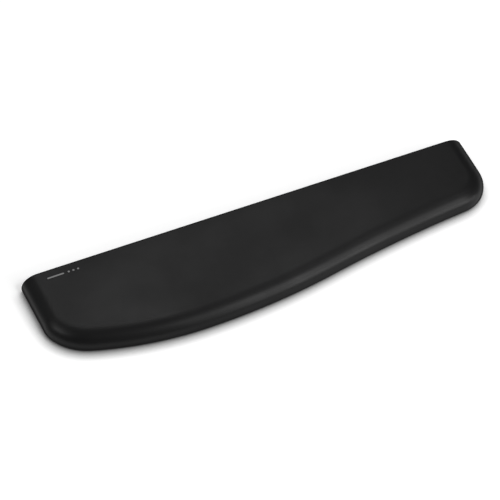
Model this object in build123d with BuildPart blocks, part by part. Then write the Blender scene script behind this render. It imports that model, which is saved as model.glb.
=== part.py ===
"""Low keyboard wrist rest: a bonded stack of base, board, foam and gel inside a turned-under leatherette skin.

Frame: millimetres, +Z up, +X along the length, +Y towards the keyboard.
The origin is on the desk, under the middle of the object's box.
"""

import os
from math import asin, atan2, cos, degrees, hypot, radians, sin, tan

from build123d import *

# ---- driving dimensions ----

LENGTH = 445.0  # end to end, the width of a full-size keyboard
DEPTH = 109.0  # straight back face to the deepest point of the front bow
HEIGHT = 17.0  # desk to flat top

# Front edge, seen from above. It runs from end to end in tangent arcs.
BOW_X = -84.0  # where the bow is deepest, left of the middle
BOW_LEFT_RADIUS = 326.0  # from there towards the left corner
BOW_RIGHT_RADIUS = 671.0  # from there to the start of the flare
FLARE_X = 45.5  # where the edge stops bulging and starts to curve the other way
FLARE_RADIUS = 1325.0  # hollow stretch that runs out to the right corner
LEFT_CORNER_RADIUS = 31.9
LEFT_EASE_RADIUS = 48.5  # wider arc that eases the left corner into the bow
LEFT_EASE_HEADING = 64.5  # degrees the edge has turned where that arc hands over to the corner
LEFT_TAPER = 1.6  # how much further out the left end is at the back than at its front corner
RIGHT_CORNER_RADIUS = 35.0
RIGHT_TAPER = 1.1

# Section.
SHOULDER_RADIUS = 13.5  # round edge of the top, along the front and both ends
BACK_EDGE_RADIUS = 1.2  # edge all round the flat back face
TURN_UNDER_RADIUS = 1.2  # where the skin turns under at the foot of its wall
DESK_GAP = 0.6  # turned-under skin to the desk

# Layers, from the desk up.
SKIN = 0.8  # leatherette
HEM_WIDTH = 14.0  # how far the skin reaches in under the board
BASE_INSET = 4.0  # rubber's edge, in from the skin's wall
PLATEAU_CLEARANCE = 0.4  # rubber's raised middle to the hem's raw edge
GLUE = 0.2  # each bonding sheet
BOARD = 1.5  # stiffener
BOARD_INSET = 2.0  # its edge, in from the skin's wall
GEL = 3.5  # gel at the flat top
LAYER_CORNER_RADIUS = 5.0  # back corners of every flat layer

# Grip grooves in the rubber, running lengthways.
GROOVE_WIDTH = 1.4
GROOVE_DEPTH = 0.3
GROOVE_PITCH = 5.0
GRIP_BORDER = 9.0  # plain rim left all round the grooves, in from the skin's wall
LABEL_SIZE = (58.0, 27.0)
LABEL_CENTRE = (0.0, 0.0)
LABEL_THICKNESS = 0.15
LABEL_RECESS = 0.25
LABEL_MARGIN = 0.5  # recess's edge round the label
LABEL_LAND = 3.0  # plain rubber round the recess
LABEL_CORNER_RADIUS = 2.0

# Printed mark, a plain dash and three dots, near the left end of the back edge.
MARK_LEFT = 22.5  # from the left end
MARK_FROM_BACK = 10.0  # its middle line, from the back face
MARK_DASH = (16.0, 1.6)
MARK_DOT_RADIUS = 1.0
MARK_DOT_PITCH = 4.5
MARK_DOTS = 3
MARK_INK = 0.05  # set into the skin, flush with its top

# ---- heights worked out from them ----

HEM_TOP = DESK_GAP + SKIN
BOARD_BOTTOM = HEM_TOP + GLUE
BOARD_TOP = BOARD_BOTTOM + BOARD
FOAM_BOTTOM = BOARD_TOP + GLUE
GEL_TOP = HEIGHT - SKIN
GEL_BOTTOM = GEL_TOP - GEL

BACK_Y = DEPTH / 2
FRONT_Y = -DEPTH / 2
END_X = LENGTH / 2
WIDEST_Y = BACK_Y - BACK_EDGE_RADIUS  # the ends spread until they meet the round of the back edge
RUN_OUT = 40.0  # extra length behind the back face, cut off again, so that the shoulders run straight out

# ---- headings of the front edge, in degrees from +X, where one arc hands over to the next ----

left_corner_x = LEFT_CORNER_RADIUS + LEFT_TAPER - END_X
left_ease_x = left_corner_x + (LEFT_EASE_RADIUS - LEFT_CORNER_RADIUS) * sin(radians(LEFT_EASE_HEADING))
left_heading = degrees(asin((BOW_X - left_ease_x) / (BOW_LEFT_RADIUS - LEFT_EASE_RADIUS)))
flare_heading = degrees(asin((FLARE_X - BOW_X) / BOW_RIGHT_RADIUS))
flare_centre_x = FLARE_X + FLARE_RADIUS * sin(radians(flare_heading))
right_corner_x = END_X - RIGHT_CORNER_RADIUS - RIGHT_TAPER
right_heading = degrees(asin((flare_centre_x - right_corner_x) / (FLARE_RADIUS + RIGHT_CORNER_RADIUS)))

# ---- how far each end leans outwards to the back, in degrees ----

left_ease_y = FRONT_Y + BOW_LEFT_RADIUS - (BOW_LEFT_RADIUS - LEFT_EASE_RADIUS) * cos(radians(left_heading))
left_corner_y = left_ease_y - (LEFT_EASE_RADIUS - LEFT_CORNER_RADIUS) * cos(radians(LEFT_EASE_HEADING))
flare_centre_y = FRONT_Y + BOW_RIGHT_RADIUS - (BOW_RIGHT_RADIUS + FLARE_RADIUS) * cos(radians(flare_heading))
right_corner_y = flare_centre_y + (FLARE_RADIUS + RIGHT_CORNER_RADIUS) * cos(radians(right_heading))


def lean(radius, taper, corner_y):
    """Lean of an end that runs straight from its front corner's arc to the widest point."""
    out = radius + taper
    back = WIDEST_Y - corner_y
    return degrees(atan2(out, back) - asin(radius / hypot(out, back)))


left_lean = lean(LEFT_CORNER_RADIUS, LEFT_TAPER, left_corner_y)
right_lean = lean(RIGHT_CORNER_RADIUS, RIGHT_TAPER, right_corner_y)


def plan(back_y, inset=0.0):
    """The outline seen from above, straight across the back at back_y, drawn in by inset all round."""
    with BuildLine() as edge:
        right_bow = JernArc((BOW_X, FRONT_Y), (1, 0), BOW_RIGHT_RADIUS, flare_heading)
        flare = JernArc(right_bow @ 1, right_bow % 1, FLARE_RADIUS, right_heading - flare_heading)
        right_corner = JernArc(flare @ 1, flare % 1, RIGHT_CORNER_RADIUS, 90 - right_lean - right_heading)
        left_bow = JernArc((BOW_X, FRONT_Y), (-1, 0), BOW_LEFT_RADIUS, -left_heading)
        left_ease = JernArc(left_bow @ 1, left_bow % 1, LEFT_EASE_RADIUS, left_heading - LEFT_EASE_HEADING)
        left_turn = LEFT_EASE_HEADING - 90 + left_lean
        left_corner = JernArc(left_ease @ 1, left_ease % 1, LEFT_CORNER_RADIUS, left_turn)
        right_x = END_X + (back_y - WIDEST_Y) * tan(radians(right_lean))
        left_x = -END_X - (back_y - WIDEST_Y) * tan(radians(left_lean))
        Polyline(right_corner @ 1, (right_x, back_y), (left_x, back_y), left_corner @ 1)
    with BuildSketch() as outline:
        make_face(edge.edges())
        if inset:
            offset(amount=-inset, mode=Mode.REPLACE)
    return outline.sketch


def layer_plan(inset):
    """The outline of a flat layer: the pad's own, drawn in by inset, with round back corners."""
    with BuildSketch() as outline:
        add(plan(BACK_Y, inset))
        fillet(outline.vertices().group_by(Axis.Y)[-1], LAYER_CORNER_RADIUS)
    return outline.sketch


def pad_form(inset):
    """The cushion's outer form, drawn in by inset on every side."""
    with BuildPart() as form:
        with BuildSketch(Plane.XY.offset(DESK_GAP + inset)):
            add(plan(BACK_Y + RUN_OUT, inset))
        extrude(amount=HEIGHT - DESK_GAP - 2 * inset)
        front_rim = form.faces().sort_by(Axis.Z)[-1].edges().sort_by(Axis.Y)[:-1]
        fillet(front_rim, SHOULDER_RADIUS - inset)
        split(bisect_by=Plane.XZ.offset(inset - BACK_Y), keep=Keep.TOP)
        back_rim = form.faces().sort_by(Axis.Y)[-1].edges().sort_by(Axis.Z)[1:]
        fillet(back_rim, BACK_EDGE_RADIUS - inset)
        foot_rim = form.faces().sort_by(Axis.Z)[0].edges()
        fillet(foot_rim, TURN_UNDER_RADIUS - inset)
    return form.part


outer_form = pad_form(0.0)
cavity_form = pad_form(SKIN)


def mark_shape():
    """Add the printed mark's flat shape: a dash with round ends, then a row of dots."""
    left = MARK_LEFT - END_X
    line_y = BACK_Y - MARK_FROM_BACK
    with Locations((left + MARK_DASH[0] / 2, line_y)):
        SlotOverall(*MARK_DASH)
    first_dot = left + MARK_DASH[0] + MARK_DOT_PITCH
    with Locations(*[(first_dot + i * MARK_DOT_PITCH, line_y) for i in range(MARK_DOTS)]):
        Circle(MARK_DOT_RADIUS)


# ---- leatherette skin: top, wall, back and turned-under hem in one piece ----

with BuildPart() as leatherette_cover:
    add(outer_form)
    add(cavity_form, mode=Mode.SUBTRACT)
    with BuildSketch(Plane.XY.offset(DESK_GAP)):
        add(layer_plan(HEM_WIDTH))
    extrude(amount=SKIN, mode=Mode.SUBTRACT)
    with BuildSketch(Plane.XY.offset(HEIGHT)):
        mark_shape()
    extrude(amount=-MARK_INK, mode=Mode.SUBTRACT)
leatherette_cover.part.label = "leatherette_cover"

# ---- printed mark, ink set flush in the skin's top ----

with BuildPart() as printed_mark:
    with BuildSketch(Plane.XY.offset(HEIGHT)):
        mark_shape()
    extrude(amount=-MARK_INK)
printed_mark.part.label = "printed_mark"

# ---- gel, the top layer that the wrists press on ----

with BuildPart() as gel_layer:
    add(cavity_form)
    split(bisect_by=Plane.XY.offset(GEL_BOTTOM), keep=Keep.TOP)
gel_layer.part.label = "gel_layer"

# ---- foam core under it ----

with BuildPart() as foam_core:
    add(cavity_form)
    split(bisect_by=Plane.XY.offset(GEL_BOTTOM), keep=Keep.BOTTOM)
    split(bisect_by=Plane.XY.offset(FOAM_BOTTOM), keep=Keep.TOP)
foam_core.part.label = "foam_core"

# ---- bonding sheet between foam and board ----

with BuildPart() as foam_adhesive_sheet:
    with BuildSketch(Plane.XY.offset(BOARD_TOP)):
        add(layer_plan(BOARD_INSET))
    extrude(amount=GLUE)
foam_adhesive_sheet.part.label = "foam_adhesive_sheet"

# ---- stiffener board that keeps the pad flat ----

with BuildPart() as stiffener_board:
    with BuildSketch(Plane.XY.offset(BOARD_BOTTOM)):
        add(layer_plan(BOARD_INSET))
    extrude(amount=BOARD)
stiffener_board.part.label = "stiffener_board"

# ---- bonding sheet that holds the hem and the rubber to the board ----

with BuildPart() as base_adhesive_sheet:
    with BuildSketch(Plane.XY.offset(HEM_TOP)):
        add(layer_plan(BOARD_INSET))
    extrude(amount=GLUE)
base_adhesive_sheet.part.label = "base_adhesive_sheet"

# ---- rubber base: its rim covers the hem's raw edge, and its raised middle fills the hem's opening ----

groove_count = int((DEPTH - 2 * GRIP_BORDER) / GROOVE_PITCH)
label_pocket = [size + 2 * LABEL_MARGIN for size in LABEL_SIZE]
label_land = [size + 2 * LABEL_LAND for size in label_pocket]

with BuildPart() as anti_slip_base:
    with BuildSketch():
        add(layer_plan(BASE_INSET))
    extrude(amount=DESK_GAP)
    with BuildSketch(Plane.XY.offset(DESK_GAP)):
        add(layer_plan(HEM_WIDTH + PLATEAU_CLEARANCE))
    extrude(amount=SKIN)
    with BuildSketch():
        with GridLocations(0, GROOVE_PITCH, 1, groove_count):
            SlotOverall(LENGTH, GROOVE_WIDTH)
        add(layer_plan(GRIP_BORDER), mode=Mode.INTERSECT)
        with Locations(LABEL_CENTRE):
            RectangleRounded(*label_land, LABEL_CORNER_RADIUS + LABEL_LAND, mode=Mode.SUBTRACT)
    extrude(amount=GROOVE_DEPTH, mode=Mode.SUBTRACT)
    with BuildSketch():
        with Locations(LABEL_CENTRE):
            RectangleRounded(*label_pocket, LABEL_CORNER_RADIUS)
    extrude(amount=LABEL_RECESS, mode=Mode.SUBTRACT)
anti_slip_base.part.label = "anti_slip_base"

# ---- blank label in the rubber's pocket ----

with BuildPart() as underside_label:
    with BuildSketch(Plane.XY.offset(LABEL_RECESS - LABEL_THICKNESS)):
        with Locations(LABEL_CENTRE):
            RectangleRounded(*LABEL_SIZE, LABEL_CORNER_RADIUS)
    extrude(amount=LABEL_THICKNESS)
underside_label.part.label = "underside_label"

# ---- one STEP file for each piece ----

os.makedirs("parts", exist_ok=True)
export_step(leatherette_cover.part, "parts/leatherette_cover.step")
export_step(printed_mark.part, "parts/printed_mark.step")
export_step(gel_layer.part, "parts/gel_layer.step")
export_step(foam_core.part, "parts/foam_core.step")
export_step(foam_adhesive_sheet.part, "parts/foam_adhesive_sheet.step")
export_step(stiffener_board.part, "parts/stiffener_board.step")
export_step(base_adhesive_sheet.part, "parts/base_adhesive_sheet.step")
export_step(anti_slip_base.part, "parts/anti_slip_base.step")
export_step(underside_label.part, "parts/underside_label.step")
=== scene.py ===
"""Looks of a low keyboard wrist rest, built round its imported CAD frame.

Metres, +Z up, +X along the length, +Y towards the keyboard.
The origin is on the desk, under the middle of the pad's box.
"""

import math

import bmesh
import bpy
import numpy as np
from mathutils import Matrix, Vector, noise
from mathutils.bvhtree import BVHTree


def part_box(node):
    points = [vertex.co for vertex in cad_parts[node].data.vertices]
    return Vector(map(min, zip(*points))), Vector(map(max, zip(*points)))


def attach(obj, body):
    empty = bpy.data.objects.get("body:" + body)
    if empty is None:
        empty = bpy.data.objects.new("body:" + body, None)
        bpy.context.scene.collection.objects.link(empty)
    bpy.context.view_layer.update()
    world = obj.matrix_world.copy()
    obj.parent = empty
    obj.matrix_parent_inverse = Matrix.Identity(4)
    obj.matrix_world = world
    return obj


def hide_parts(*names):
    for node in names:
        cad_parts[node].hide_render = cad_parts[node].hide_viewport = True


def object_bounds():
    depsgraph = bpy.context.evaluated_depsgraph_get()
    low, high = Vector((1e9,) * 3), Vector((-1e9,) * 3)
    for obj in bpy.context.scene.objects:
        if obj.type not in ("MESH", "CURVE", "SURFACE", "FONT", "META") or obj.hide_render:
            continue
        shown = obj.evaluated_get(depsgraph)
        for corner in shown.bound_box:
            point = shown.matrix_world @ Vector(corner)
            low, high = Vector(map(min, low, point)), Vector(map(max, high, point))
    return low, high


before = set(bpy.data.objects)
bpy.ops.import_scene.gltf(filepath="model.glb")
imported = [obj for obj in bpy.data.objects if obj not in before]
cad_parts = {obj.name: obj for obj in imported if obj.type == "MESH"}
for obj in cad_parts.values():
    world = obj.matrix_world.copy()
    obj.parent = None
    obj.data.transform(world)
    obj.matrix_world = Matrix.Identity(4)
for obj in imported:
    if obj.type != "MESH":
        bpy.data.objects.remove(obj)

CAD_LOW, CAD_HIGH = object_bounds()
MM = 0.001

# ---- sizes, from the frame where it has them ----

END_X = CAD_HIGH.x
BACK_Y = CAD_HIGH.y
FRONT_Y = CAD_LOW.y
HEM_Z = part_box("leatherette_cover")[0].z  # underside of the turned-under skin
FOAM_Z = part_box("foam_core")[0].z
GEL_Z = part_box("gel_layer")[0].z  # where foam ends and gel starts

# The front edge, seen from above, is a chain of tangent arcs.
BOW_X = -84.0 * MM  # where the bow is deepest
BOW_LEFT_RADIUS = 326.0 * MM
BOW_RIGHT_RADIUS = 671.0 * MM
FLARE_X = 45.5 * MM  # where the edge starts to curve the other way
FLARE_RADIUS = 1325.0 * MM
LEFT_CORNER_RADIUS = 31.9 * MM
LEFT_EASE_RADIUS = 48.5 * MM  # wider arc between the left corner and the bow
LEFT_EASE_HEADING = math.radians(-64.5)  # where that arc hands over to the corner
LEFT_TAPER = 1.6 * MM  # how much further out the left end is at the back than at its front corner
RIGHT_CORNER_RADIUS = 35.0 * MM
RIGHT_TAPER = 1.1 * MM

# The section.
SHOULDER_WIDTH = 16.0 * MM  # how far the round shoulder reaches in from the wall
SHOULDER_POWER = 2.0  # 2 is an ellipse, more is squarer
WALL_TOP_Z = 3.5 * MM  # where the upright wall ends and the shoulder starts
BACK_EDGE_RADIUS = 1.2 * MM
TURN_UNDER_RADIUS = 1.2 * MM
HEM_WIDTH = 14.0 * MM
HEM_CORNER_RADIUS = 5.0 * MM
SKIN = 0.8 * MM
FIT = 0.05 * MM  # play between the skin and what it covers

# Crown that the filling gives the taut skin.
PRESSURE = 4.0
SWELL_FRAMES = 20
CROWN = 0.8 * MM  # most that any point may rise
CROWN_SPREAD = 6.0 * MM  # free swelling at which a point has risen two thirds of that
RELAX_ROUNDS = 12  # smoothing of the free swelling over neighbouring points
TOP_Z = CAD_HIGH.z - 0.5 * CROWN  # flat top before it swells
RIPPLE = 0.1 * MM  # faint unevenness of the gel under the skin
RIPPLE_LENGTH = 45.0 * MM

# Printed mark: a dash and three dots near the left end of the back edge.
MARK_LEFT = 22.5 * MM
MARK_FROM_BACK = 10.0 * MM
MARK_DASH = (16.0 * MM, 1.6 * MM)
MARK_DOT_RADIUS = 1.0 * MM
MARK_DOT_PITCH = 4.5 * MM
MARK_DOTS = 3
MARK_INK = 0.05 * MM  # how far it stands up
MARK_BITE = 0.5 * MARK_INK  # and how far it reaches into the skin
MARK_CAP_STEPS = 6
MARK_DASH_STEPS = 32
MARK_ACROSS_STEPS = 4

# How many faces each stretch is split into.
END_STEPS = 18  # straight part of each end
HALF_CORNER_STEPS = 8
EASE_STEPS = 6
BOW_LEFT_STEPS = 34
BOW_RIGHT_STEPS = 38
FLARE_STEPS = 42
WALL_STEPS = 2
SHOULDER_STEPS = 12
BACK_EDGE_STEPS = 5
TURN_UNDER_STEPS = 4
HEM_STEPS = 4
GEL_LEVELS = 5
FOAM_LEVELS = 6
WELD = 0.01 * MM  # vertices nearer than this become one

ACROSS_STEPS = END_STEPS + HALF_CORNER_STEPS
ALONG_STEPS = 2 * HALF_CORNER_STEPS + EASE_STEPS + BOW_LEFT_STEPS + BOW_RIGHT_STEPS + FLARE_STEPS

# ---- the outline's arcs: their centres, and the headings, from +X, where one hands over to the next ----


def past(centre, radius, heading):
    """The point radius away from centre, in the direction that an edge with this heading faces."""
    return np.array([centre[0] + radius * math.sin(heading), centre[1] - radius * math.cos(heading)])


def lean(radius, taper, corner_y):
    """Lean of an end that runs straight from its front corner's arc to the widest point."""
    out = radius + taper
    back = WIDEST_Y - corner_y
    return math.atan2(out, back) - math.asin(radius / math.hypot(out, back))


WIDEST_Y = BACK_Y - BACK_EDGE_RADIUS
LEFT_CORNER_X = LEFT_CORNER_RADIUS + LEFT_TAPER - END_X
LEFT_EASE_X = LEFT_CORNER_X - (LEFT_EASE_RADIUS - LEFT_CORNER_RADIUS) * math.sin(LEFT_EASE_HEADING)
LEFT_HEADING = -math.asin((BOW_X - LEFT_EASE_X) / (BOW_LEFT_RADIUS - LEFT_EASE_RADIUS))
FLARE_HEADING = math.asin((FLARE_X - BOW_X) / BOW_RIGHT_RADIUS)
BOW_LEFT = (BOW_X, FRONT_Y + BOW_LEFT_RADIUS)
BOW_RIGHT = (BOW_X, FRONT_Y + BOW_RIGHT_RADIUS)
LEFT_EASE = past(BOW_LEFT, BOW_LEFT_RADIUS - LEFT_EASE_RADIUS, LEFT_HEADING)
LEFT_CORNER = past(LEFT_EASE, LEFT_EASE_RADIUS - LEFT_CORNER_RADIUS, LEFT_EASE_HEADING)
LEFT_LEAN = lean(LEFT_CORNER_RADIUS, LEFT_TAPER, LEFT_CORNER[1])
FLARE = past(BOW_RIGHT, BOW_RIGHT_RADIUS + FLARE_RADIUS, FLARE_HEADING)
RIGHT_CORNER_X = END_X - RIGHT_CORNER_RADIUS - RIGHT_TAPER
RIGHT_HEADING = math.asin((FLARE[0] - RIGHT_CORNER_X) / (FLARE_RADIUS + RIGHT_CORNER_RADIUS))
RIGHT_CORNER = past(FLARE, -FLARE_RADIUS - RIGHT_CORNER_RADIUS, RIGHT_HEADING)
RIGHT_LEAN = lean(RIGHT_CORNER_RADIUS, RIGHT_TAPER, RIGHT_CORNER[1])


def arc(centre, radius, start, stop, steps):
    """Points of an arc whose outward normal turns from start to stop; a hollow arc has a radius below 0."""
    return np.array([past(centre, radius, heading) for heading in np.linspace(start, stop, steps + 1)])


def edge_curve(back_y, inset):
    """The outline without its back, drawn in by inset.

    It runs from back_y down the left end, along the front and up the right end to back_y again.
    """
    left_start = LEFT_LEAN - math.pi / 2
    right_stop = math.pi / 2 - RIGHT_LEAN
    steps = 2 * HALF_CORNER_STEPS
    left = arc(LEFT_CORNER, LEFT_CORNER_RADIUS - inset, left_start, LEFT_EASE_HEADING, steps)
    right = arc(RIGHT_CORNER, RIGHT_CORNER_RADIUS - inset, RIGHT_HEADING, right_stop, steps)
    left_x = -END_X - (back_y - WIDEST_Y) * math.tan(LEFT_LEAN) + inset / math.cos(LEFT_LEAN)
    right_x = END_X + (back_y - WIDEST_Y) * math.tan(RIGHT_LEAN) - inset / math.cos(RIGHT_LEAN)
    runs = [
        np.linspace((left_x, back_y), left[0], END_STEPS + 1),
        left,
        arc(LEFT_EASE, LEFT_EASE_RADIUS - inset, LEFT_EASE_HEADING, LEFT_HEADING, EASE_STEPS),
        arc(BOW_LEFT, BOW_LEFT_RADIUS - inset, LEFT_HEADING, 0.0, BOW_LEFT_STEPS),
        arc(BOW_RIGHT, BOW_RIGHT_RADIUS - inset, 0.0, FLARE_HEADING, BOW_RIGHT_STEPS),
        arc(FLARE, -FLARE_RADIUS - inset, FLARE_HEADING, RIGHT_HEADING, FLARE_STEPS),
        right,
        np.linspace(right[-1], (right_x, back_y), END_STEPS + 1),
    ]
    return np.vstack([runs[0]] + [run[1:] for run in runs[1:]])


def ring(inset, corner_radius, z, back_inset=None):
    """A closed loop round the pad: the outline drawn in by inset, with round back corners.

    Its back is drawn in by back_inset instead, where that is given.
    """
    back_y = BACK_Y - (inset if back_inset is None else back_inset)
    points = edge_curve(back_y - corner_radius, inset)
    corner = np.linspace(0.0, math.pi / 2, BACK_EDGE_STEPS + 1)[1:]
    turn = corner_radius * np.column_stack([np.cos(corner), np.sin(corner)])
    right = points[-1] + turn - [corner_radius, 0]
    left = (points[0] + turn * [-1, 1] + [corner_radius, 0])[::-1]
    back = np.linspace(right[-1], left[0], ALONG_STEPS + 1)[1:-1]
    loop = np.vstack([points, right, back, left[:-1]])
    return np.column_stack([loop, np.full(len(loop), z)])


def shoulder():
    """Wall and shoulder as (inset, height) pairs, from the foot of the wall up to the flat top."""
    wall = [(0.0, z) for z in np.linspace(HEM_Z + TURN_UNDER_RADIUS, WALL_TOP_Z, WALL_STEPS + 1)]
    angle = np.linspace(0.0, math.pi / 2, SHOULDER_STEPS + 1)[1:]
    inset = SHOULDER_WIDTH * (1 - np.cos(angle) ** (2 / SHOULDER_POWER))
    height = WALL_TOP_Z + (TOP_Z - WALL_TOP_Z) * np.sin(angle) ** (2 / SHOULDER_POWER)
    return np.array(wall + list(zip(inset, height)))


def headings(section):
    """Unit vectors along a section, one at each of its points."""
    slope = np.gradient(section, axis=0)
    return slope / np.linalg.norm(slope, axis=1)[:, None]


def patch(bottom, top, left, right):
    """A grid of points that fills four edges.

    bottom and top run the same way, and left and right run from bottom to top.
    """
    u = np.linspace(0, 1, len(bottom))[:, None, None]
    v = np.linspace(0, 1, len(left))[None, :, None]
    across = (1 - u) * left[None] + u * right[None]
    up = (1 - v) * bottom[:, None] + v * top[:, None]
    corners = (
        (1 - u) * (1 - v) * bottom[0]
        + u * (1 - v) * bottom[-1]
        + (1 - u) * v * top[0]
        + u * v * top[-1]
    )
    return across + up - corners


def add_grid(mesh, grid, closed=False):
    """Add a grid of points to a bmesh as quads; a closed grid joins its last row to its first."""
    rows = [[mesh.verts.new(point) for point in row] for row in grid]
    pairs = list(zip(rows, rows[1:] + rows[:1])) if closed else list(zip(rows, rows[1:]))
    for a, b in pairs:
        for j in range(len(a) - 1):
            mesh.faces.new((a[j], b[j], b[j + 1], a[j + 1]))


def skin_mesh():
    """The skin's outer surface: wall and shoulder, flat top, round back edge, back face, foot and hem."""
    mesh = bmesh.new()

    # The band along both ends and the front: wall and shoulder.
    section = shoulder()
    rows = [edge_curve(WIDEST_Y, inset) for inset, _ in section]
    band = np.array([[(*row[i], z) for row, (_, z) in zip(rows, section)] for i in range(len(rows[0]))])
    add_grid(mesh, band)

    # The flat top, inside the band.
    inner = band[:, -1]
    split_left, split_right = ACROSS_STEPS, len(inner) - 1 - ACROSS_STEPS
    back_line = np.linspace(inner[0], inner[-1], ALONG_STEPS + 1)
    top = patch(
        inner[split_left:split_right + 1],
        back_line,
        inner[:split_left + 1][::-1],
        inner[split_right:],
    )
    add_grid(mesh, top)

    # The round back edge. Its rim runs from the foot of the left wall over the top to the foot of the
    # right one, and each point comes with the way it faces: sideways on the walls, up on the flat top.
    slope = headings(section)
    slope[:WALL_STEPS + 1] = (0, 1)
    slope[-1] = (1, 0)
    facing = np.column_stack([-slope[:, 1], slope[:, 0]])
    left = list(zip(band[0][:, [0, 2]], facing))
    middle = [(p[[0, 2]], (0.0, 1.0)) for p in back_line[1:-1]]
    right = list(zip(band[-1][:, [0, 2]], facing * [-1, 1]))[::-1]
    rim = left + middle + right
    turn = np.linspace(0, math.pi / 2, BACK_EDGE_STEPS + 1)
    rounded = np.array([
        [
            (
                p[0] - BACK_EDGE_RADIUS * (1 - math.cos(a)) * n[0],
                BACK_Y - BACK_EDGE_RADIUS * (1 - math.sin(a)),
                p[1] - BACK_EDGE_RADIUS * (1 - math.cos(a)) * n[1],
            )
            for a in turn
        ]
        for p, n in rim
    ])
    add_grid(mesh, rounded)

    # The back face, inside that edge.
    back_rim = rounded[:, -1]
    count = len(section)
    up_left, across, up_right = back_rim[:count], back_rim[count - 1:-count + 1], back_rim[-count:][::-1]
    foot = np.linspace(up_left[0], up_right[0], ALONG_STEPS + 1)
    add_grid(mesh, patch(foot, across, up_left, up_right))

    # The foot, where the skin turns under, and the hem.
    angle = np.linspace(0, math.pi / 2, TURN_UNDER_STEPS + 1)
    foot_rings = [
        ring(
            TURN_UNDER_RADIUS * (1 - math.cos(a)),
            BACK_EDGE_RADIUS - TURN_UNDER_RADIUS * (1 - math.cos(a)),
            HEM_Z + TURN_UNDER_RADIUS * (1 - math.sin(a)),
        )
        for a in angle
    ]
    hem_inner = ring(HEM_WIDTH, HEM_CORNER_RADIUS, HEM_Z)
    inwards = np.linspace(0, 1, HEM_STEPS + 1)[1:]
    hem_rings = [foot_rings[-1] + (hem_inner - foot_rings[-1]) * t for t in inwards]
    under = np.stack(foot_rings + hem_rings, axis=1)
    add_grid(mesh, under, closed=True)

    bmesh.ops.remove_doubles(mesh, verts=mesh.verts, dist=WELD)
    bmesh.ops.recalc_face_normals(mesh, faces=mesh.faces)
    return mesh


def filling_mesh(low, high, levels):
    """A closed block of filling between two heights, just inside the skin."""
    section = shoulder()
    slope = headings(section)
    inside = section + (SKIN + FIT) * np.column_stack([slope[:, 1], -slope[:, 0]])
    mesh = bmesh.new()
    loops = []
    for z in np.linspace(low, min(high, inside[-1, 1]), levels + 1):
        inset = float(np.interp(z, inside[:, 1], inside[:, 0]))
        points = ring(inset, BACK_EDGE_RADIUS, z, back_inset=SKIN + FIT)
        loops.append([mesh.verts.new(point) for point in points])
    for lower, upper in zip(loops, loops[1:]):
        for a, b, c, d in zip(lower, lower[1:] + lower[:1], upper[1:] + upper[:1], upper):
            mesh.faces.new((a, b, c, d))
    mesh.faces.new(loops[0][::-1])
    mesh.faces.new(loops[-1])
    bmesh.ops.recalc_face_normals(mesh, faces=mesh.faces)
    return mesh


def mark_mesh(surface):
    """The printed mark: a dash and dots, each a sheet of ink that follows the skin under it."""
    left = MARK_LEFT - END_X
    line_y = BACK_Y - MARK_FROM_BACK
    dash_radius = MARK_DASH[1] / 2
    shapes = [(left + MARK_DASH[0] / 2, MARK_DASH[0] / 2 - dash_radius, dash_radius, MARK_DASH_STEPS)]
    first_dot = left + MARK_DASH[0] + MARK_DOT_PITCH
    shapes += [(first_dot + i * MARK_DOT_PITCH, 0.0, MARK_DOT_RADIUS, 1) for i in range(MARK_DOTS)]
    angle = np.linspace(0, math.pi / 2, MARK_CAP_STEPS + 2)[1:]
    well_above = 2 * CAD_HIGH.z
    mesh = bmesh.new()
    for centre, reach, radius, steps in shapes:
        cap = [(reach + radius * math.cos(a), radius * math.sin(a)) for a in angle]
        middle = [(x, radius) for x in np.linspace(-reach, reach, steps + 1)[1:-1]]
        stations = [(-x, half) for x, half in cap] + middle + cap[::-1]
        if reach == 0:
            stations.remove(cap[-1])  # a dot's two halves share their widest station
        rows = []
        for x, half in stations:
            row = []
            for y in np.linspace(-half, half, MARK_ACROSS_STEPS + 1):
                above = Vector((centre + x, line_y + y, well_above))
                ground = surface.ray_cast(above, Vector((0, 0, -1)))[0]
                row.append(ground + Vector((0, 0, MARK_INK)))
            rows.append(row)
        add_grid(mesh, rows)
    bmesh.ops.recalc_face_normals(mesh, faces=mesh.faces)
    return mesh


def make_object(name, mesh, material, smooth=True):
    """Turn a bmesh into a named object that wears one material."""
    data = bpy.data.meshes.new(name)
    mesh.to_mesh(data)
    mesh.free()
    for face in data.polygons:
        face.use_smooth = smooth
    data.materials.append(material)
    piece = bpy.data.objects.new(name, data)
    bpy.context.scene.collection.objects.link(piece)
    return piece


def swell(piece, still):
    """How far each vertex moves when pressure blows the skin out and the vertices in still are held."""
    group = piece.vertex_groups.new(name="still")
    group.add([int(i) for i in still], 1.0, "REPLACE")
    cloth = piece.modifiers.new("cloth", "CLOTH")
    cloth.settings.vertex_group_mass = "still"
    cloth.settings.use_pressure = True
    cloth.settings.uniform_pressure_force = PRESSURE
    cloth.settings.effector_weights.gravity = 0.0
    cloth.point_cache.frame_start = 1
    cloth.point_cache.frame_end = SWELL_FRAMES
    for frame_number in range(1, SWELL_FRAMES + 1):
        bpy.context.scene.frame_set(frame_number)
    start = np.array([v.co for v in piece.data.vertices])
    puffed = piece.evaluated_get(bpy.context.evaluated_depsgraph_get())
    moved = np.array([v.co for v in puffed.data.vertices]) - start
    piece.modifiers.remove(cloth)
    piece.vertex_groups.remove(group)
    bpy.context.scene.frame_set(1)
    return moved


def relaxed(values, mesh, rounds):
    """Values on a mesh's vertices, averaged with their neighbours' round after round."""
    edges = np.array([edge.vertices for edge in mesh.edges])
    count = 1 + np.bincount(edges.ravel(), minlength=len(values))
    for _ in range(rounds):
        total = values.copy()
        np.add.at(total, edges[:, 0], values[edges[:, 1]])
        np.add.at(total, edges[:, 1], values[edges[:, 0]])
        values = total / count
    return values


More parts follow.
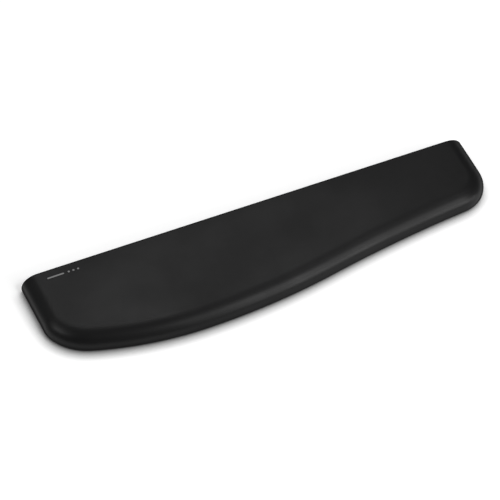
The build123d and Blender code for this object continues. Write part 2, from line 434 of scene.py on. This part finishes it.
def thicken(piece, thickness, subdivisions=0):
    """Give a sheet its thickness, inwards from its surface, after making it finer."""
    finer = piece.modifiers.new("finer", "SUBSURF")
    finer.levels = finer.render_levels = subdivisions
    solid = piece.modifiers.new("solid", "SOLIDIFY")
    solid.thickness = thickness
    solid.offset = -1
    result = bpy.data.meshes.new_from_object(piece.evaluated_get(bpy.context.evaluated_depsgraph_get()))
    piece.modifiers.clear()
    piece.data = result


# ---- materials ----


def new_material(name, colour, roughness, specular=0.5):
    """A principled material, its node tree and its shader."""
    material = bpy.data.materials.new(name)
    material.use_nodes = True
    tree = material.node_tree
    shader = tree.nodes["Principled BSDF"]
    shader.inputs["Base Color"].default_value = (*colour, 1)
    shader.inputs["Roughness"].default_value = roughness
    shader.inputs["Specular IOR Level"].default_value = specular
    return material, tree, shader


def node(tree, kind, **values):
    """Add a shader node; values are input sockets by name, or settings of the node."""
    made = tree.nodes.new(kind)
    for key, value in values.items():
        if key in made.inputs:
            made.inputs[key].default_value = value
        else:
            setattr(made, key, value)
    return made


def noise_field(tree, size, detail=3.0):
    """Soft noise whose features are about size metres across."""
    place = node(tree, "ShaderNodeTexCoord")
    field = node(tree, "ShaderNodeTexNoise", Scale=1 / size, Detail=detail)
    tree.links.new(place.outputs["Object"], field.inputs["Vector"])
    return field.outputs["Fac"]


def cell_field(tree, size):
    """Cells about size metres across, as the distance from each cell's middle."""
    place = node(tree, "ShaderNodeTexCoord")
    field = node(tree, "ShaderNodeTexVoronoi", Scale=1 / size)
    tree.links.new(place.outputs["Object"], field.inputs["Vector"])
    return field.outputs["Distance"]


def spread(tree, field, low, high, from_low=0.3, from_high=0.7):
    """Map a field onto low..high; most of a noise lies between the usual from_low and from_high."""
    ramp = node(tree, "ShaderNodeMapRange")
    for key, value in zip(("From Min", "From Max", "To Min", "To Max"), (from_low, from_high, low, high)):
        ramp.inputs[key].default_value = value
    tree.links.new(field, ramp.inputs["Value"])
    return ramp.outputs["Result"]


def tint(tree, shader, field, dark, light):
    """Let a field blend the base colour between two tones."""
    mix = node(tree, "ShaderNodeMixRGB", Color1=(*dark, 1), Color2=(*light, 1))
    tree.links.new(field, mix.inputs["Fac"])
    tree.links.new(mix.outputs["Color"], shader.inputs["Base Color"])


def relief(tree, shader, *layers):
    """Stack bumps, each a field and its depth in metres, onto the shader's normal."""
    normal = None
    for field, depth in layers:
        bump = node(tree, "ShaderNodeBump", Distance=depth)
        tree.links.new(field, bump.inputs["Height"])
        if normal:
            tree.links.new(normal, bump.inputs["Normal"])
        normal = bump.outputs["Normal"]
    tree.links.new(normal, shader.inputs["Normal"])


# Satin leatherette: near black, with fine pebbled grain, pores and slow changes in sheen.
# Its grain loses the gloss at a grazing angle, so the roughness rises there.
leatherette, tree, shader = new_material("satin_leatherette", (0.0042, 0.0042, 0.0044), 0.42, 0.2)
clouds = noise_field(tree, 60 * MM, 4.0)
tint(tree, shader, spread(tree, clouds, 0, 1), (0.0032, 0.0032, 0.0034), (0.0054, 0.0054, 0.0056))
grazing = node(tree, "ShaderNodeLayerWeight").outputs["Facing"]
rough = node(tree, "ShaderNodeMath", operation="ADD")
tree.links.new(spread(tree, clouds, low=0.47, high=0.38), rough.inputs[0])
tree.links.new(spread(tree, grazing, low=0, high=0.55, from_low=0.5, from_high=0.75), rough.inputs[1])
tree.links.new(rough.outputs["Value"], shader.inputs["Roughness"])
relief(
    tree,
    shader,
    (cell_field(tree, 1.1 * MM), 0.012 * MM),
    (noise_field(tree, 0.35 * MM, 2.0), 0.008 * MM),
)

# Ink of the printed mark.
ink, tree, shader = new_material("grey_ink", (0.22, 0.22, 0.22), 0.55)
tint(tree, shader, spread(tree, noise_field(tree, 0.6 * MM), 0, 1), (0.17, 0.17, 0.17), (0.25, 0.25, 0.25))
relief(tree, shader, (noise_field(tree, 0.4 * MM), 0.01 * MM))

# Gel: translucent and slightly milky.
gel, tree, shader = new_material("milky_gel", (0.32, 0.42, 0.5), 0.18)
shader.inputs["Subsurface Weight"].default_value = 0.6
shader.inputs["Subsurface Scale"].default_value = 3 * MM
tint(tree, shader, spread(tree, noise_field(tree, 14 * MM), 0, 1), (0.27, 0.37, 0.46), (0.38, 0.48, 0.55))
relief(tree, shader, (noise_field(tree, 6 * MM), 0.1 * MM))

# Open-cell foam.
foam, tree, shader = new_material("open_cell_foam", (0.1, 0.1, 0.11), 0.95, 0.2)
cells = cell_field(tree, 0.9 * MM)
tint(tree, shader, spread(tree, cells, 0, 1, 0.1, 0.8), (0.13, 0.13, 0.14), (0.03, 0.03, 0.035))
relief(tree, shader, (cells, 0.3 * MM))

# Bonding film: thin, clear and a little yellow.
film, tree, shader = new_material("adhesive_film", (0.55, 0.5, 0.36), 0.3)
tint(tree, shader, spread(tree, noise_field(tree, 8 * MM), 0, 1), (0.5, 0.45, 0.32), (0.6, 0.56, 0.42))
relief(tree, shader, (noise_field(tree, 2 * MM), 0.02 * MM))

# Stiffener board: moulded plastic with a fine spark-eroded texture.
board, tree, shader = new_material("moulded_board", (0.03, 0.03, 0.032), 0.55)
patches = spread(tree, noise_field(tree, 30 * MM), 0, 1)
tint(tree, shader, patches, (0.025, 0.025, 0.027), (0.036, 0.036, 0.038))
relief(tree, shader, (noise_field(tree, 0.5 * MM), 0.03 * MM))

# Rubber base: matt, dusty in places, with a fine stipple.
rubber, tree, shader = new_material("matt_rubber", (0.016, 0.016, 0.017), 0.8, 0.3)
dust = noise_field(tree, 25 * MM, 5.0)
tint(tree, shader, spread(tree, dust, 0, 1), (0.012, 0.012, 0.013), (0.022, 0.022, 0.022))
tree.links.new(spread(tree, dust, 0.72, 0.9), shader.inputs["Roughness"])
relief(tree, shader, (cell_field(tree, 0.7 * MM), 0.05 * MM), (noise_field(tree, 0.2 * MM), 0.01 * MM))

# Blank label film.
label, tree, shader = new_material("blank_label_film", (0.62, 0.62, 0.6), 0.45)
tint(tree, shader, spread(tree, noise_field(tree, 10 * MM), 0, 1), (0.58, 0.58, 0.56), (0.66, 0.66, 0.65))
relief(tree, shader, (noise_field(tree, 1.5 * MM), 0.01 * MM))

for name, material in (
    ("foam_adhesive_sheet", film),
    ("base_adhesive_sheet", film),
    ("stiffener_board", board),
    ("anti_slip_base", rubber),
    ("underside_label", label),
):
    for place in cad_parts[name].material_slots:
        place.material = material

# ---- pieces ----

skin = make_object("leatherette_skin", skin_mesh(), leatherette)
rest = np.array([v.co for v in skin.data.vertices])
outward = np.array([v.normal for v in skin.data.vertices])
moved = swell(skin, np.flatnonzero(rest[:, 2] < WALL_TOP_Z + FIT))
free_rise = np.maximum((moved * outward).sum(axis=1), 0)
rise = CROWN * (1 - np.exp(-relaxed(free_rise, skin.data, RELAX_ROUNDS) / CROWN_SPREAD))
for vertex, point, normal, height in zip(skin.data.vertices, rest, outward, rise):
    # The ripple fades out to nothing where the skin is held.
    ripple = noise.noise(Vector(point) / RIPPLE_LENGTH) * RIPPLE * min(1, height / CROWN * 2)
    vertex.co = point + normal * (height + ripple)
thicken(skin, SKIN, subdivisions=1)
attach(skin, "root")
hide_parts("leatherette_cover")

bpy.context.view_layer.update()
surface = BVHTree.FromObject(skin, bpy.context.evaluated_depsgraph_get())
mark = make_object("grey_mark", mark_mesh(surface), ink)
thicken(mark, MARK_INK + MARK_BITE)
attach(mark, "root")
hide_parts("printed_mark")

gel_pad = make_object("gel_pad", filling_mesh(GEL_Z, TOP_Z, GEL_LEVELS), gel)
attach(gel_pad, "root")
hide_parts("gel_layer")

foam_block = make_object("foam_block", filling_mesh(FOAM_Z, GEL_Z, FOAM_LEVELS), foam)
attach(foam_block, "root")
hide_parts("foam_core")

# ---- stage ----

FLOOR_HALF_WIDTH = 4.0
FLOOR_WHITE = (0.97, 0.97, 0.97)
FLOOR_GLOW = 0.3  # keeps the floor white where the pad hides some of the lights

# The floor's colour is darkened close to the pad, a painted shadow where the pad shuts it off from the open
# side.
SHADE_REACH = 14.5 * MM
SHADE_FROM = (0.5, 0.6, 0.6)  # towards the open side: right, back and up
SHADE_DEPTH = 1.5  # more is darker
SHADE_SAMPLES = 16

WORLD_GLOW = 0.12  # faint light from all sides
LIGHT_DISTANCE = 2.4
LIGHT_SIZE = 0.6
# Soft boxes round the pad as (azimuth, elevation, power).
SOFT_BOXES = (
    (30, 50, 12.4),
    (30, 36, 4.2),
    (30, 22, 11.5),
    (45, 50, 4.9),
    (45, 22, 6.0),
    (60, 8, 6.0),
    (90, 64, 3.2),
    (157, 64, 4.7),
    (157, 50, 3.0),
    (187, 50, 4.4),
    (240, 50, 2.5),
    (264, 40, 9.0),
)


def direction(azimuth, elevation):
    """A unit vector away from the pad: azimuth 0 leads to the front, and 90 degrees to the right."""
    around, up = math.radians(azimuth), math.radians(elevation)
    return Vector((math.sin(around) * math.cos(up), -math.cos(around) * math.cos(up), math.sin(up)))


def soft_box(name, spot, power):
    """A square soft box at spot, facing the pad."""
    data = bpy.data.lights.new(name, "AREA")
    data.size = LIGHT_SIZE
    data.energy = power
    light = bpy.data.objects.new(name, data)
    light.location = spot
    light.rotation_euler = (-spot).to_track_quat("-Z", "Y").to_euler()
    bpy.context.scene.collection.objects.link(light)


floor_material, tree, shader = new_material("pale_floor", FLOOR_WHITE, 0.8, 0.2)
# Painted shadow: ambient occlusion towards the open side darkens the floor's base colour near the pad.
open_side = node(tree, "ShaderNodeCombineXYZ", **dict(zip("XYZ", Vector(SHADE_FROM).normalized())))
closed = node(tree, "ShaderNodeAmbientOcclusion", Distance=SHADE_REACH, samples=SHADE_SAMPLES)
soften = node(tree, "ShaderNodeMapRange", interpolation_type="SMOOTHSTEP")
deepen = node(tree, "ShaderNodeMath", operation="POWER")
deepen.inputs[1].default_value = SHADE_DEPTH
tree.links.new(open_side.outputs["Vector"], closed.inputs["Normal"])
tree.links.new(closed.outputs["AO"], soften.inputs["Value"])
tree.links.new(soften.outputs["Result"], deepen.inputs[0])
tint(tree, shader, deepen.outputs["Value"], (0.0, 0.0, 0.0), FLOOR_WHITE)
# The floor glows in that same colour, so its glow carries the painted shadow as well.
tree.links.new(shader.inputs["Base Color"].links[0].from_socket, shader.inputs["Emission Color"])
shader.inputs["Emission Strength"].default_value = FLOOR_GLOW
mesh = bmesh.new()
bmesh.ops.create_grid(mesh, x_segments=1, y_segments=1, size=FLOOR_HALF_WIDTH)
floor = make_object("floor", mesh, floor_material, smooth=False)

world = bpy.data.worlds.new("studio")
world.use_nodes = True
world.node_tree.nodes["Background"].inputs["Color"].default_value = (1, 1, 1, 1)
world.node_tree.nodes["Background"].inputs["Strength"].default_value = WORLD_GLOW
bpy.context.scene.world = world
for azimuth, elevation, power in SOFT_BOXES:
    soft_box(f"soft_box_{azimuth}_{elevation}", LIGHT_DISTANCE * direction(azimuth, elevation), power)

bpy.context.scene.view_settings.view_transform = "Standard"

# ---- camera ----

AZIMUTH = -23.74  # degrees
ELEVATION = 48.6
DISTANCE = 2.018
AIM = (-14.0 * MM, 15.8 * MM, 0.4 * MM)
LENS = 158.4  # millimetres, like the sensor
SENSOR_WIDTH = 36.0

camera_data = bpy.data.cameras.new("camera")
camera_data.lens = LENS
camera_data.sensor_width = SENSOR_WIDTH
camera = bpy.data.objects.new("camera", camera_data)
towards_camera = direction(AZIMUTH, ELEVATION)
camera.location = Vector(AIM) + DISTANCE * towards_camera
camera.rotation_euler = towards_camera.to_track_quat("Z", "Y").to_euler()
bpy.context.scene.collection.objects.link(camera)
bpy.context.scene.camera = camera
